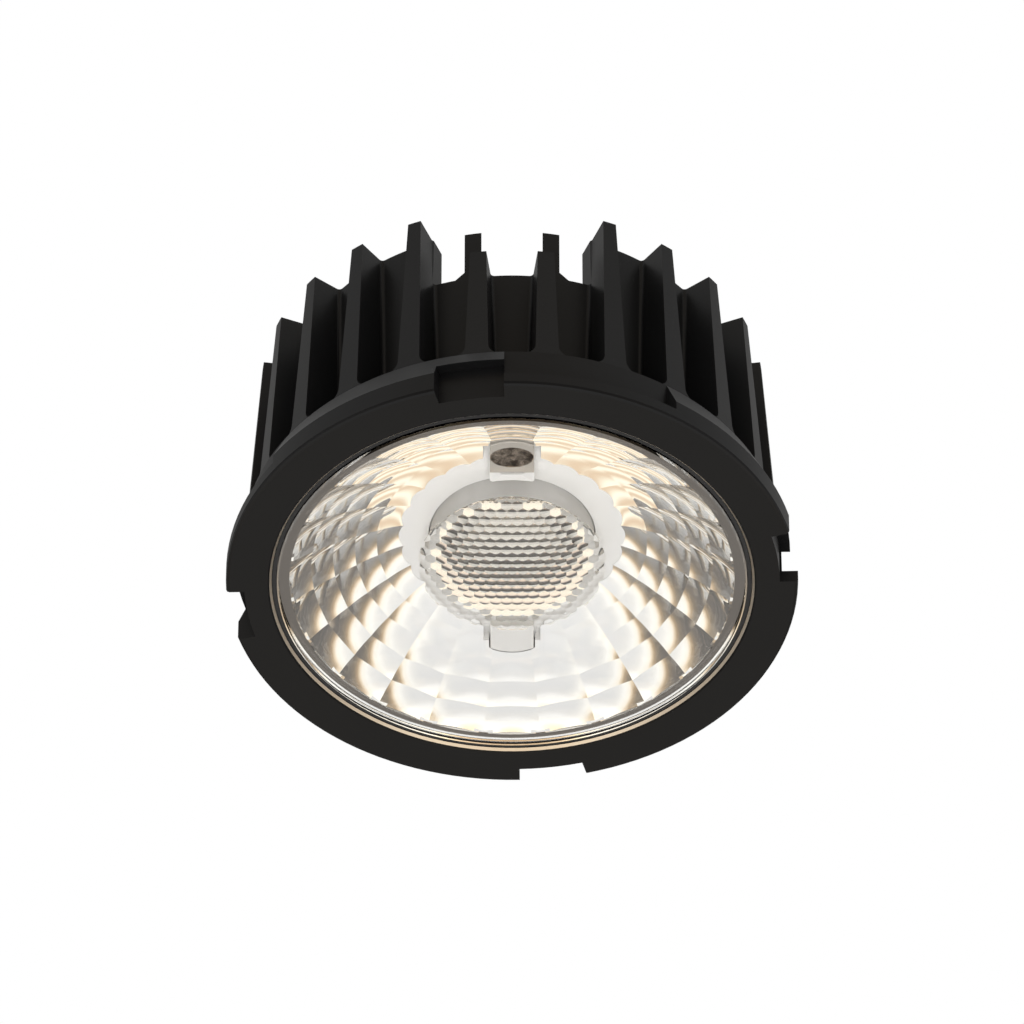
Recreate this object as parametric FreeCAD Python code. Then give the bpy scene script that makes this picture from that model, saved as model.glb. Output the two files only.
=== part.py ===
"""A round 50 mm spot-light LED module: finned die-cast body, scooped reflector, round lens.

The light leaves through the front ring, which lies on Z = 0 and faces down. The fins stand up.
The cable side of the module is at -Y. Lengths are in millimetres, angles in degrees.
"""
import FreeCAD
import Part
import math
import os

from FreeCAD import Placement, Rotation, Vector

# Front ring and body of the heat sink
RING_RADIUS = 25.0
RING_EDGE_ROUND = 0.3
RING_BAND = 2.2
NECK_RADIUS = 23.6
NECK_HEIGHT = 5.3
BODY_HEIGHT = 24.4
MOUTH_RADIUS = 21.0
MOUTH_CHAMFER = 0.35
LEDGE_DEPTH = 1.9
WELL_RADIUS = 19.9
WELL_DEPTH = 3.4
CHAMBER_RADIUS = 18.0
CHAMBER_TOP = 12.0
WEB = 3.2
CORE_RADIUS = 19.6
CORE_WALL = 1.7

# Fins
FIN_COUNT = 24
FIN_TIP_TOP = 22.35
FIN_TIP_BASE = 23.4
FIN_THICK_TOP = 1.2
FIN_DRAFT = 1.3
SLOT_CORNER = 1.3
SLOT_ROOT_FILLET = 0.35

# Twist-lock notches in the front ring
NOTCH_COUNT = 4
NOTCH_DEPTH = 1.6
NOTCH_HEIGHT = 3.6
NOTCH_START = -15.5
NOTCH_END = -1.6
LUG_THICK = 1.28
LUG_SPAN = 36.0

# Cable side of the rear wall
CUT_LEVEL = 18.85
CUT_PITCHES = 1.5
CABLE_GAP = 5.36
POST_WIDTH = 1.47
POST_FOOT = 0.8

# Front cover
FACE_RECESS = 0.1
COVER_THICK = 0.8
COVER_RADIUS = 20.55
COVER_BEVEL = 0.15
SEAT_CLEARANCE = 0.05

# Reflector
REFLECTOR_INNER = 9.95
REFLECTOR_INNER_Z = 6.6
REFLECTOR_RIM = 19.45
REFLECTOR_SLOPE = 20.3
REFLECTOR_WALL = 1.1
RIM_LAND = 0.3
SCOOP_COLUMNS = 24
SCOOP_RINGS = 5
SCOOP_BALL = 8.0
SCOOP_STOCK = 1.2
FLANGE_STEP = 0.6
HEAD_SLOT = 5.05
HEAD_SLOT_END = 12.2
HEAD_SLOT_CLEARANCE = 0.12

# Lens and its collar
COLLAR_PLATE = 1.2
COLLAR_SKIRT = 1.2
COLLAR_FIT = 0.3
COLLAR_GAP = 0.05
LENS_BASE_RADIUS = 8.63
LENS_FRONT_RADIUS = 8.2
LENS_BASE_THICK = 1.05
LENS_HEIGHT = 3.65
LENS_CROWN = 0.8
LENS_EDGE_ROUND = 0.12
LENS_PLATE = 1.2
TUBE_RADIUS = 7.24
TUBE_WALL = 0.7
TUBE_CLEARANCE = 0.1
CLIP_WIDTH = 3.9
CLIP_HEIGHT = 1.7
CLIP_BEVEL = 0.8
CLIP_RIDGE = 1.6
CLIP_CLEARANCE = 0.08
COLLAR_VENT = 3.0
COLLAR_VENT_LIP = 1.0

# Pins of the collar, and screws
COLLAR_PIN_PLACE = 11.3
COLLAR_HEAD = 3.84
COLLAR_HEAD_HEIGHT = 1.6
COLLAR_HEAD_ARC = 3.9
COLLAR_HEAD_ROUND = 0.12
COLLAR_BOSS = 4.6
BOSS_CLEARANCE = 0.2
HOLDER_SCREW_X = 9.6
HOLDER_HEAD = 3.6
HOLDER_HEAD_HEIGHT = 1.1
SCREW_THREAD = 2.5
SCREW_BITE = 2.2
SCREW_TIP = 0.3
SCREW_ROUND = 0.35
HOLDER_DRIVE = 1.04
HOLDER_DRIVE_DEPTH = 0.5
SCREW_CLEARANCE = 0.15

# Light engine
PAD_THICK = 0.3
BOARD_SIDE = 13.35
BOARD_THICK = 1.0
BOARD_CLEARANCE = 0.15
PHOSPHOR_RADIUS = 4.5
PHOSPHOR_THICK = 0.3
DAM_WIDTH = 0.6
DAM_THICK = 0.45
HOLDER_RADIUS = 12.3
HOLDER_TOP_PLATE = 1.5
HOLDER_WINDOW = 5.6
HOLDER_WINDOW_FLARE = 0.7
CONTACT_X = 4.0
CONTACT_WIDTH = 1.4
CONTACT_THICK = 0.25
CONTACT_TIP_Y = -5.9
CONTACT_ROOT_Y = -9.7
CONTACT_FOOT = 0.3
CONTACT_RAMP = 0.8
CONTACT_DROP = 0.75
CONTACT_CHANNEL = 0.2
CONTACT_CHANNEL_DEPTH = 0.9

# Feed through the web to the rear terminal
PIN_RADIUS = 0.5
PIN_Y = -8.9
BUSH_RADIUS = 1.3
BUSH_HEAD_RADIUS = 1.8
BUSH_HEAD = 0.5
BUSH_CLEARANCE = 0.05
TERMINAL_WIDTH = 16.0
TERMINAL_DEPTH = 7.6
TERMINAL_HEIGHT = 6.2
TERMINAL_EDGE = 0.4
TERMINAL_ENTRY = 2.6
TERMINAL_ENTRY_DEPTH = 4.2
TERMINAL_ENTRY_LEVEL = 3.4
TERMINAL_FUNNEL = 0.5
TERMINAL_STEP = 2.2
TERMINAL_SCREW_X = 6.9
TERMINAL_THREAD = 1.6
TERMINAL_HEAD = 3.0
TERMINAL_HEAD_HEIGHT = 0.9
TERMINAL_SLOT = 0.5
WIRE_CLIP_THICK = 0.4
WIRE_CLIP_WIDTH = 1.56
WIRE_CLIP_DROP = 1.0
WIRE_CLIP_INSET = 1.2

# Levels that follow from the sizes above
COVER_BACK = FACE_RECESS + COVER_THICK
COLLAR_FACE = REFLECTOR_INNER_Z + COLLAR_GAP
COLLAR_BACK = COLLAR_FACE + COLLAR_PLATE
COLLAR_HOLE = TUBE_RADIUS + TUBE_CLEARANCE
COLLAR_RADIUS = HOLDER_RADIUS + COLLAR_FIT + COLLAR_SKIRT
REAR_FLOOR = CHAMBER_TOP + WEB
REAR_RADIUS = CORE_RADIUS - CORE_WALL
PAD_FACE = CHAMBER_TOP - PAD_THICK
BOARD_FACE = PAD_FACE - BOARD_THICK
HOLDER_FACE = BOARD_FACE - HOLDER_TOP_PLATE
FIN_PITCH = 360.0 / FIN_COUNT
SCOOP_PITCH = 360.0 / SCOOP_COLUMNS
LENS_FRONT = COLLAR_FACE - LENS_HEIGHT
LENS_BACK = LENS_FRONT + LENS_PLATE
NOTCH_FLOOR = RING_RADIUS - NOTCH_DEPTH

# How far a cutting shape runs past the surface that it cuts
OVERCUT = 1.0

AXIS = Vector(0, 0, 1)
ORIGIN = Vector(0, 0, 0)


def turned(outline, angle=360.0, start=0.0):
    """Solid of revolution about Z from (radius, height) points, starting at an angle from +X."""
    points = [Vector(radius, 0, height) for radius, height in outline]
    face = Part.Face(Part.makePolygon(points + [points[0]]))
    solid = face.revolve(ORIGIN, AXIS, angle)
    solid.rotate(ORIGIN, AXIS, start)
    return solid


def tube(outer, inner, low, high):
    """Plain ring between two heights."""
    return turned([(inner, low), (outer, low), (outer, high), (inner, high)])


def disc(radius, low, high, x=0.0, y=0.0):
    """Plain cylinder between two heights."""
    return Part.makeCylinder(radius, high - low, Vector(x, y, low))


def block(x_size, y_size, low, high, x=0.0, y=0.0):
    """Box centred on x and y, between two heights."""
    return Part.makeBox(x_size, y_size, high - low, Vector(x - x_size / 2, y - y_size / 2, low))


def around(shape, count, start=0.0):
    """Copies of a shape, evenly spaced about Z."""
    copies = []
    for index in range(count):
        copy = shape.copy()
        copy.rotate(ORIGIN, AXIS, start + index * 360.0 / count)
        copies.append(copy)
    return copies


def fin_half_thickness(height):
    """Half the thickness of a fin, which grows from the top down."""
    return FIN_THICK_TOP / 2 + (BODY_HEIGHT - height) * math.tan(math.radians(FIN_DRAFT))


def slot_outline(radius):
    """U-shaped outline of the slot between two fins, at one distance from the axis.

    The slot is centred on +X, and each side runs along its own fin.
    """
    half_pitch = math.radians(FIN_PITCH / 2)
    top = BODY_HEIGHT + OVERCUT

    def half_width(height):
        return radius * math.tan(half_pitch) - fin_half_thickness(height) / math.cos(half_pitch)

    floor = half_width(NECK_HEIGHT)
    shoulder = half_width(NECK_HEIGHT + SLOT_CORNER)
    lean = SLOT_CORNER * (1 - math.cos(math.radians(45)))

    def at(y, z):
        return Vector(radius, y, z)

    flat = max(floor - SLOT_CORNER, 0.05)
    right = Part.Arc(at(flat, NECK_HEIGHT),
                     at(shoulder - lean, NECK_HEIGHT + lean),
                     at(shoulder, NECK_HEIGHT + SLOT_CORNER)).toShape()
    left = Part.Arc(at(-shoulder, NECK_HEIGHT + SLOT_CORNER),
                    at(lean - shoulder, NECK_HEIGHT + lean),
                    at(-flat, NECK_HEIGHT)).toShape()
    bottom = Part.makeLine(at(-flat, NECK_HEIGHT), at(flat, NECK_HEIGHT))
    right_side = Part.makeLine(at(shoulder, NECK_HEIGHT + SLOT_CORNER), at(half_width(top), top))
    lid = Part.makeLine(at(half_width(top), top), at(-half_width(top), top))
    left_side = Part.makeLine(at(-half_width(top), top), at(-shoulder, NECK_HEIGHT + SLOT_CORNER))
    return Part.Wire([bottom, right, right_side, lid, left_side, left])


def slot_cutter():
    """What is taken out between two fins: a U-shaped slot that stops at the round core."""
    wedge = Part.makeLoft([slot_outline(CORE_RADIUS - OVERCUT), slot_outline(RING_RADIUS + OVERCUT)],
                          True, True)
    cutter = wedge.cut(disc(CORE_RADIUS, 0, BODY_HEIGHT + 2 * OVERCUT))
    root = []
    for edge in cutter.Edges:
        middle = edge.valueAt((edge.FirstParameter + edge.LastParameter) / 2)
        upright = edge.BoundBox.ZLength > (BODY_HEIGHT - NECK_HEIGHT) / 2
        at_core = math.hypot(middle.x, middle.y) < (CORE_RADIUS + FIN_TIP_TOP) / 2
        if upright and at_core:
            root.append(edge)
    return cutter.makeFillet(SLOT_ROOT_FILLET, root)


def body_outline():
    """Outside of the casting before the slots: ring, neck cone and fin tips."""
    low = RING_EDGE_ROUND
    return [(0, 0), (RING_RADIUS - low, 0), (RING_RADIUS - low * 0.3, low * 0.3),
            (RING_RADIUS, low), (RING_RADIUS, RING_BAND), (NECK_RADIUS, NECK_HEIGHT),
            (FIN_TIP_BASE, NECK_HEIGHT), (FIN_TIP_TOP, BODY_HEIGHT), (0, BODY_HEIGHT)]


def front_cavity():
    """The stepped well that takes the cover, the reflector and the light engine."""
    return turned([(0, -OVERCUT), (MOUTH_RADIUS + MOUTH_CHAMFER + OVERCUT, -OVERCUT),
                   (MOUTH_RADIUS, MOUTH_CHAMFER), (MOUTH_RADIUS, LEDGE_DEPTH),
                   (WELL_RADIUS, LEDGE_DEPTH), (WELL_RADIUS, WELL_DEPTH),
                   (CHAMBER_RADIUS, WELL_DEPTH + WELL_RADIUS - CHAMBER_RADIUS),
                   (CHAMBER_RADIUS, CHAMBER_TOP), (0, CHAMBER_TOP)])


def lock_cutters():
    """Entry notches of the twist lock, and the relief behind each lug."""
    span = NOTCH_END - NOTCH_START
    outside = RING_RADIUS + OVERCUT
    notch = turned([(NOTCH_FLOOR, -OVERCUT), (outside, -OVERCUT), (outside, NOTCH_HEIGHT),
                    (NOTCH_FLOOR, NOTCH_HEIGHT)], span, NOTCH_START - 90.0)
    relief = turned([(NECK_RADIUS, LUG_THICK), (outside, LUG_THICK), (outside, NECK_HEIGHT),
                     (NECK_RADIUS, NECK_HEIGHT)], LUG_SPAN, NOTCH_END - 90.0)
    return around(notch, NOTCH_COUNT) + around(relief, NOTCH_COUNT)


def cable_cutter():
    """Lowers the rear wall and two fins on the cable side, and leaves two posts."""
    top = BODY_HEIGHT + OVERCUT
    lean = math.radians(CUT_PITCHES * FIN_PITCH)
    offset = fin_half_thickness(CUT_LEVEL)
    apex = -offset / math.sin(lean)
    reach = (RING_RADIUS + apex) * math.tan(lean)
    inner = -(REAR_RADIUS - 3 * OVERCUT)
    inner_half = (-inner + apex) * math.tan(lean)
    outline = [Vector(-inner_half, inner, CUT_LEVEL), Vector(-reach, -RING_RADIUS, CUT_LEVEL),
               Vector(reach, -RING_RADIUS, CUT_LEVEL), Vector(inner_half, inner, CUT_LEVEL)]
    wedge = Part.Face(Part.makePolygon(outline + [outline[0]])).extrude(Vector(0, 0, top - CUT_LEVEL))
    gap_half = CABLE_GAP / 2
    outer_half = gap_half + POST_WIDTH
    for side in (-1, 1):
        corners = [(gap_half, CUT_LEVEL), (outer_half + POST_FOOT, CUT_LEVEL),
                   (outer_half, CUT_LEVEL + POST_FOOT), (outer_half, top), (gap_half, top)]
        points = [Vector(side * x, -RING_RADIUS, z) for x, z in corners]
        slab = Part.Face(Part.makePolygon(points + [points[0]])).extrude(Vector(0, RING_RADIUS, 0))
        wedge = wedge.cut(slab.common(disc(CORE_RADIUS, CUT_LEVEL, top)))
    return wedge


def fixing_places():
    """Centres of the pins that hold the collar, and of the screws that hold the board clamp."""
    collar = [(0, -COLLAR_PIN_PLACE), (0, COLLAR_PIN_PLACE)]
    holder = [(-HOLDER_SCREW_X, 0), (HOLDER_SCREW_X, 0)]
    return collar, holder


def heat_sink():
    """The black die-cast body, one piece."""
    body = turned(body_outline())
    body = body.cut(around(slot_cutter(), FIN_COUNT, -90.0))
    body = body.cut(front_cavity())
    body = body.cut(disc(REAR_RADIUS, REAR_FLOOR, BODY_HEIGHT + OVERCUT))
    body = body.cut(lock_cutters())
    body = body.cut(cable_cutter())
    collar, holder = fixing_places()
    drill = SCREW_THREAD / 2 + SEAT_CLEARANCE
    holes = [disc(drill, CHAMBER_TOP - OVERCUT, CHAMBER_TOP + SCREW_BITE + SCREW_TIP, x, y)
             for x, y in collar + holder]
    for x in (-CONTACT_X, CONTACT_X):
        holes.append(disc(BUSH_RADIUS + BUSH_CLEARANCE, CHAMBER_TOP - OVERCUT, REAR_FLOOR + OVERCUT,
                          x, PIN_Y))
    for x in (-TERMINAL_SCREW_X, TERMINAL_SCREW_X):
        holes.append(disc(TERMINAL_THREAD / 2 + SEAT_CLEARANCE, REAR_FLOOR - SCREW_BITE - SCREW_TIP,
                          REAR_FLOOR + OVERCUT, x, PIN_Y))
    return body.cut(holes)


def cover_glass():
    """Clear front disc with a small bevel on both edges."""
    bevel = COVER_BEVEL
    return turned([(0, FACE_RECESS), (COVER_RADIUS - bevel, FACE_RECESS),
                   (COVER_RADIUS, FACE_RECESS + bevel), (COVER_RADIUS, COVER_BACK - bevel),
                   (COVER_RADIUS - bevel, COVER_BACK), (0, COVER_BACK)])


def cover_gasket():
    """Black ring that grips the cover and the reflector's flange in the mouth."""
    return tube(MOUTH_RADIUS - SEAT_CLEARANCE, COVER_RADIUS + SEAT_CLEARANCE,
                FACE_RECESS + 2 * COVER_BEVEL, LEDGE_DEPTH)


def dish_points():
    """Corner points of the scoop rings, from the inner edge out to the rim."""
    run = REFLECTOR_RIM - REFLECTOR_INNER
    drop = REFLECTOR_INNER_Z - COVER_BACK - RIM_LAND
    slope = math.tan(math.radians(REFLECTOR_SLOPE))
    bend = (drop - slope * run) / run ** 2
    points = []
    for index in range(SCOOP_RINGS + 1):
        out = run * index / SCOOP_RINGS
        points.append((REFLECTOR_INNER + out, REFLECTOR_INNER_Z - slope * out - bend * out ** 2))
    return points


def scoop_balls():
    """One ball for each ring of scoops. It meets its neighbours at the ring's two corner points."""
    points = dish_points()
    balls = []
    for (r0, z0), (r1, z1) in zip(points, points[1:]):
        length = math.hypot(r1 - r0, z1 - z0)
        across = math.sqrt(SCOOP_BALL ** 2 - (length / 2) ** 2)
        centre = Vector((r0 + r1) / 2 + (z1 - z0) / length * across, 0,
                        (z0 + z1) / 2 - (r1 - r0) / length * across)
        balls.append(Part.makeSphere(SCOOP_BALL, centre, AXIS, -90, 90, 360))
    return balls


def head_outline(side, clearance, low, high):
    """Block with straight sides and a curved outer end: a pin's head, or the room round it."""
    half = COLLAR_HEAD / 2
    reach = COLLAR_HEAD_ARC + clearance
    width = COLLAR_HEAD + 2 * clearance
    round_end = disc(reach, low, high, 0, side * (COLLAR_PIN_PLACE + half - COLLAR_HEAD_ARC))
    length = COLLAR_HEAD + 2 * clearance
    return round_end.common(block(width, length, low, high, 0, side * COLLAR_PIN_PLACE))


def reflector():
    """Metallised dish: 24 columns of scoops, each column cut by a row of balls."""
    points = dish_points()
    aslant = math.sin(math.atan2(REFLECTOR_INNER_Z - COVER_BACK, REFLECTOR_RIM - REFLECTOR_INNER))
    neck_radius = REFLECTOR_INNER - SCOOP_STOCK
    neck = [(neck_radius, REFLECTOR_INNER_Z - SCOOP_STOCK), (neck_radius, REFLECTOR_INNER_Z)]
    back = [(r + REFLECTOR_WALL * aslant, min(z + REFLECTOR_WALL, REFLECTOR_INNER_Z))
            for r, z in points[1:-1]]
    step_radius = WELL_RADIUS - 2 * SEAT_CLEARANCE
    rim = [(step_radius, LEDGE_DEPTH + FLANGE_STEP), (step_radius, LEDGE_DEPTH),
           (COVER_RADIUS, LEDGE_DEPTH), (COVER_RADIUS, COVER_BACK),
           (REFLECTOR_RIM, COVER_BACK), (REFLECTOR_RIM, COVER_BACK + RIM_LAND)]
    front = [(r - SCOOP_STOCK * aslant, z - SCOOP_STOCK) for r, z in reversed(points[1:-1])]
    blank = turned(neck + back + rim + front, SCOOP_PITCH, -SCOOP_PITCH / 2)
    column = blank.cut(scoop_balls())
    column = column.cut(disc(REFLECTOR_RIM, -OVERCUT, COVER_BACK + RIM_LAND / 2))
    columns = around(column, SCOOP_COLUMNS, -90.0)
    dish = columns[0].multiFuse(columns[1:]).removeSplitter()
    above = COLLAR_FACE + OVERCUT
    for side in (-1, 1):
        dish = dish.cut(head_outline(side, HEAD_SLOT_CLEARANCE, 0, above))
        dish = dish.cut(block(HEAD_SLOT, HEAD_SLOT_END, 0, above, 0, side * HEAD_SLOT_END / 2))
    return dish


def lens_clip(side):
    """One clip beside the lens. Its inner face follows the lens, so it hooks over the wide base.

    Its two outer corners are cut off aslant.
    """
    tip = COLLAR_FACE - CLIP_HEIGHT
    half = CLIP_WIDTH / 2
    inner = LENS_FRONT_RADIUS - OVERCUT
    outer = COLLAR_PIN_PLACE - COLLAR_HEAD / 2 - CLIP_CLEARANCE
    clip = block(CLIP_WIDTH, outer - inner, tip, COLLAR_FACE, 0, side * (outer + inner) / 2)
    for way in (-1, 1):
        corner = Vector(way * half, side * outer, tip)
        cut_from = [Vector(way * half, side * LENS_FRONT_RADIUS, tip),
                    Vector(way * CLIP_RIDGE / 2, side * outer, tip),
                    Vector(way * half, side * outer, tip + CLIP_BEVEL)]
        middle = (cut_from[0] + cut_from[1] + cut_from[2]) / 3
        facet = Part.Face(Part.makePolygon(cut_from + [cut_from[0]]))
        clip = clip.cut(facet.extrude((corner - middle) * 2))
    base = LENS_BASE_RADIUS + CLIP_CLEARANCE
    front = LENS_FRONT_RADIUS + CLIP_CLEARANCE
    return clip.cut(turned([(0, LENS_FRONT), (front, LENS_FRONT), (base, COLLAR_FACE - LENS_BASE_THICK),
                            (base, COLLAR_FACE), (0, COLLAR_FACE)]))


def lens_collar():
    """White moulded collar: a flat ring under the lens, a skirt, two bosses and two clips."""
    skirt_inner = COLLAR_RADIUS - COLLAR_SKIRT
    plate = tube(COLLAR_RADIUS, COLLAR_HOLE, COLLAR_FACE, COLLAR_BACK)
    collar = plate.fuse(tube(COLLAR_RADIUS, skirt_inner, COLLAR_FACE, CHAMBER_TOP))
    hole = SCREW_THREAD / 2 + SCREW_CLEARANCE
    for side in (-1, 1):
        place = side * COLLAR_PIN_PLACE
        boss = disc(COLLAR_BOSS / 2, COLLAR_BACK, CHAMBER_TOP, 0, place)
        collar = collar.fuse(boss).fuse(lens_clip(side))
        collar = collar.cut(disc(hole, COLLAR_FACE - OVERCUT, CHAMBER_TOP + OVERCUT, 0, place))
    vent = block(COLLAR_VENT, COLLAR_VENT, COLLAR_BACK + COLLAR_VENT_LIP, CHAMBER_TOP + OVERCUT,
                 COLLAR_RADIUS, 0)
    return collar.cut(around(vent, 4, 45.0))


def dome_lens():
    """Clear cap over the light tube: a wide foot on the collar, and a gently crowned front."""
    crown = LENS_FRONT - LENS_CROWN
    shoulder = COLLAR_FACE - LENS_BASE_THICK
    edge = LENS_EDGE_ROUND
    profile = [Part.makeLine(Vector(0, 0, COLLAR_FACE), Vector(LENS_BASE_RADIUS, 0, COLLAR_FACE)),
               Part.makeLine(Vector(LENS_BASE_RADIUS, 0, COLLAR_FACE),
                             Vector(LENS_BASE_RADIUS, 0, shoulder)),
               Part.makeLine(Vector(LENS_BASE_RADIUS, 0, shoulder),
                             Vector(LENS_FRONT_RADIUS, 0, LENS_FRONT + edge)),
               Part.makeLine(Vector(LENS_FRONT_RADIUS, 0, LENS_FRONT + edge),
                             Vector(LENS_FRONT_RADIUS - edge, 0, LENS_FRONT))]
    rim = Vector(LENS_FRONT_RADIUS - edge, 0, LENS_FRONT)
    bulge = (rim.x ** 2 + LENS_CROWN ** 2) / (2 * LENS_CROWN)
    half = rim.x / 2
    middle = Vector(half, 0, crown + bulge - math.sqrt(bulge ** 2 - half ** 2))
    profile.append(Part.Arc(rim, middle, Vector(0, 0, crown)).toShape())
    profile.append(Part.makeLine(Vector(0, 0, crown), Vector(0, 0, COLLAR_FACE)))
    lens = Part.Face(Part.Wire(profile)).revolve(ORIGIN, AXIS, 360)
    return lens.cut(disc(TUBE_RADIUS + TUBE_CLEARANCE, LENS_BACK, COLLAR_FACE + OVERCUT))


def light_tube():
    """White tube from the board holder up through the collar, which mixes the light below the lens."""
    return tube(TUBE_RADIUS, TUBE_RADIUS - TUBE_WALL, LENS_BACK + TUBE_CLEARANCE, HOLDER_FACE)


def screw(head, head_height, thread, seat, tip, drive, sunk):
    """Round-headed screw along Z. The head lies below the seat and the thread runs up to the tip."""
    face = seat - head_height
    body = turned([(0, face), (head / 2 - SCREW_ROUND, face), (head / 2, face + SCREW_ROUND),
                   (head / 2, seat), (thread / 2, seat), (thread / 2, tip - SCREW_TIP),
                   (thread / 2 - SCREW_TIP, tip), (0, tip)])
    socket = [Vector(drive * math.cos(math.radians(60 * k)), drive * math.sin(math.radians(60 * k)),
                     face - OVERCUT) for k in range(6)]
    hexagon = Part.Face(Part.makePolygon(socket + [socket[0]]))
    return body.cut(hexagon.extrude(Vector(0, 0, sunk + OVERCUT)))


def moved(shape, x, y):
    """A copy of a shape shifted in the plane."""
    copy = shape.copy()
    copy.translate(Vector(x, y, 0))
    return copy


def collar_pins():
    """Two bright pins pressed into the web, whose plain heads hold the collar."""
    pins = []
    tip = CHAMBER_TOP + SCREW_BITE
    face = COLLAR_FACE - COLLAR_HEAD_HEIGHT
    shank = turned([(0, COLLAR_FACE - OVERCUT), (SCREW_THREAD / 2, COLLAR_FACE - OVERCUT),
                    (SCREW_THREAD / 2, tip - SCREW_TIP), (SCREW_THREAD / 2 - SCREW_TIP, tip), (0, tip)])
    for side in (-1, 1):
        head = head_outline(side, 0, face, COLLAR_FACE)
        edges = [edge for edge in head.Edges if edge.BoundBox.ZMax < face + COLLAR_HEAD_ROUND]
        head = head.makeFillet(COLLAR_HEAD_ROUND, edges)
        pins.append(head.fuse(moved(shank, 0, side * COLLAR_PIN_PLACE)))
    return Part.makeCompound(pins)


def holder_screws():
    """Two screws that clamp the board holder to the web."""
    _, holder = fixing_places()
    one = screw(HOLDER_HEAD, HOLDER_HEAD_HEIGHT, SCREW_THREAD, HOLDER_FACE,
                CHAMBER_TOP + SCREW_BITE, HOLDER_DRIVE, HOLDER_DRIVE_DEPTH)
    return Part.makeCompound([moved(one, x, y) for x, y in holder])


def thermal_pad():
    """Grey pad between the board and the web."""
    return block(BOARD_SIDE, BOARD_SIDE, PAD_FACE, CHAMBER_TOP)


def cob_board():
    """Square ceramic board of the light source."""
    return block(BOARD_SIDE, BOARD_SIDE, BOARD_FACE, PAD_FACE)


def phosphor_disc():
    """Yellow layer over the chips, the lit surface."""
    return disc(PHOSPHOR_RADIUS, BOARD_FACE - PHOSPHOR_THICK, BOARD_FACE)


def cob_dam():
    """White ring that holds the phosphor layer in."""
    return tube(PHOSPHOR_RADIUS + DAM_WIDTH, PHOSPHOR_RADIUS, BOARD_FACE - DAM_THICK, BOARD_FACE)


def cob_holder():
    """White clamp over the board, with a flared window and two contact channels."""
    holder = disc(HOLDER_RADIUS, HOLDER_FACE, CHAMBER_TOP)
    side = BOARD_SIDE + 2 * BOARD_CLEARANCE
    low = HOLDER_FACE - OVERCUT
    high = CHAMBER_TOP + OVERCUT
    holder = holder.cut(block(side, side, BOARD_FACE, high))
    flare = HOLDER_WINDOW + HOLDER_WINDOW_FLARE
    holder = holder.cut(turned([(0, low), (flare, low), (flare, HOLDER_FACE), (HOLDER_WINDOW, BOARD_FACE),
                                (HOLDER_WINDOW, CHAMBER_TOP), (0, CHAMBER_TOP)]))
    collar, screws = fixing_places()
    notch = COLLAR_BOSS + 2 * BOSS_CLEARANCE
    for x, y in collar:
        holder = holder.cut(disc(notch / 2, low, high, x, y))
        holder = holder.cut(block(notch, HOLDER_RADIUS, low, high,
                                  x, y + math.copysign(HOLDER_RADIUS / 2, y)))
    hole = SCREW_THREAD / 2 + SCREW_CLEARANCE
    for x, y in screws:
        holder = holder.cut(disc(hole, low, high, x, y))
    width = CONTACT_WIDTH + 2 * CONTACT_CHANNEL
    length = CONTACT_TIP_Y - CONTACT_ROOT_Y + 2 * CONTACT_CHANNEL
    middle = (CONTACT_TIP_Y + CONTACT_ROOT_Y) / 2
    channel_floor = BOARD_FACE - CONTACT_CHANNEL_DEPTH
    for x in (-CONTACT_X, CONTACT_X):
        holder = holder.cut(block(width, length, channel_floor, BOARD_FACE, x, middle))
        holder = holder.cut(disc(BUSH_HEAD_RADIUS + CONTACT_CHANNEL, channel_floor, high, x, PIN_Y))
    return holder


def contact_springs():
    """Two sprung strips from the feed pins to the pads of the board."""
    level = BOARD_FACE - CONTACT_DROP
    foot_level = BOARD_FACE - CONTACT_THICK
    foot = CONTACT_TIP_Y - CONTACT_FOOT
    strips = []
    for x in (-CONTACT_X, CONTACT_X):
        lower = [(CONTACT_ROOT_Y, level), (foot - CONTACT_RAMP, level), (foot, foot_level),
                 (CONTACT_TIP_Y, foot_level)]
        upper = [(y, z + CONTACT_THICK) for y, z in reversed(lower)]
        points = [Vector(x - CONTACT_WIDTH / 2, y, z) for y, z in lower + upper]
        strip = Part.Face(Part.makePolygon(points + [points[0]])).extrude(Vector(CONTACT_WIDTH, 0, 0))
        strips.append(strip)
    return Part.makeCompound(strips)


def feed_bushes():
    """Two insulating bushes that line the holes through the web."""
    bushes = []
    for x in (-CONTACT_X, CONTACT_X):
        bush = disc(BUSH_RADIUS, CHAMBER_TOP, REAR_FLOOR, x, PIN_Y)
        bush = bush.fuse(disc(BUSH_HEAD_RADIUS, CHAMBER_TOP - BUSH_HEAD, CHAMBER_TOP, x, PIN_Y))
        bushes.append(bush.cut(disc(PIN_RADIUS + BUSH_CLEARANCE, CHAMBER_TOP - OVERCUT,
                                    REAR_FLOOR + OVERCUT, x, PIN_Y)))
    return Part.makeCompound(bushes)


def pin_top():
    """Height at which the feed pins end inside the terminal block."""
    return REAR_FLOOR + TERMINAL_HEIGHT / 2


def feed_pins():
    """Two brass pins from the contact strips up into the terminal block."""
    low = BOARD_FACE - CONTACT_DROP + CONTACT_THICK
    return Part.makeCompound([disc(PIN_RADIUS, low, pin_top(), x, PIN_Y)
                              for x in (-CONTACT_X, CONTACT_X)])


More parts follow.
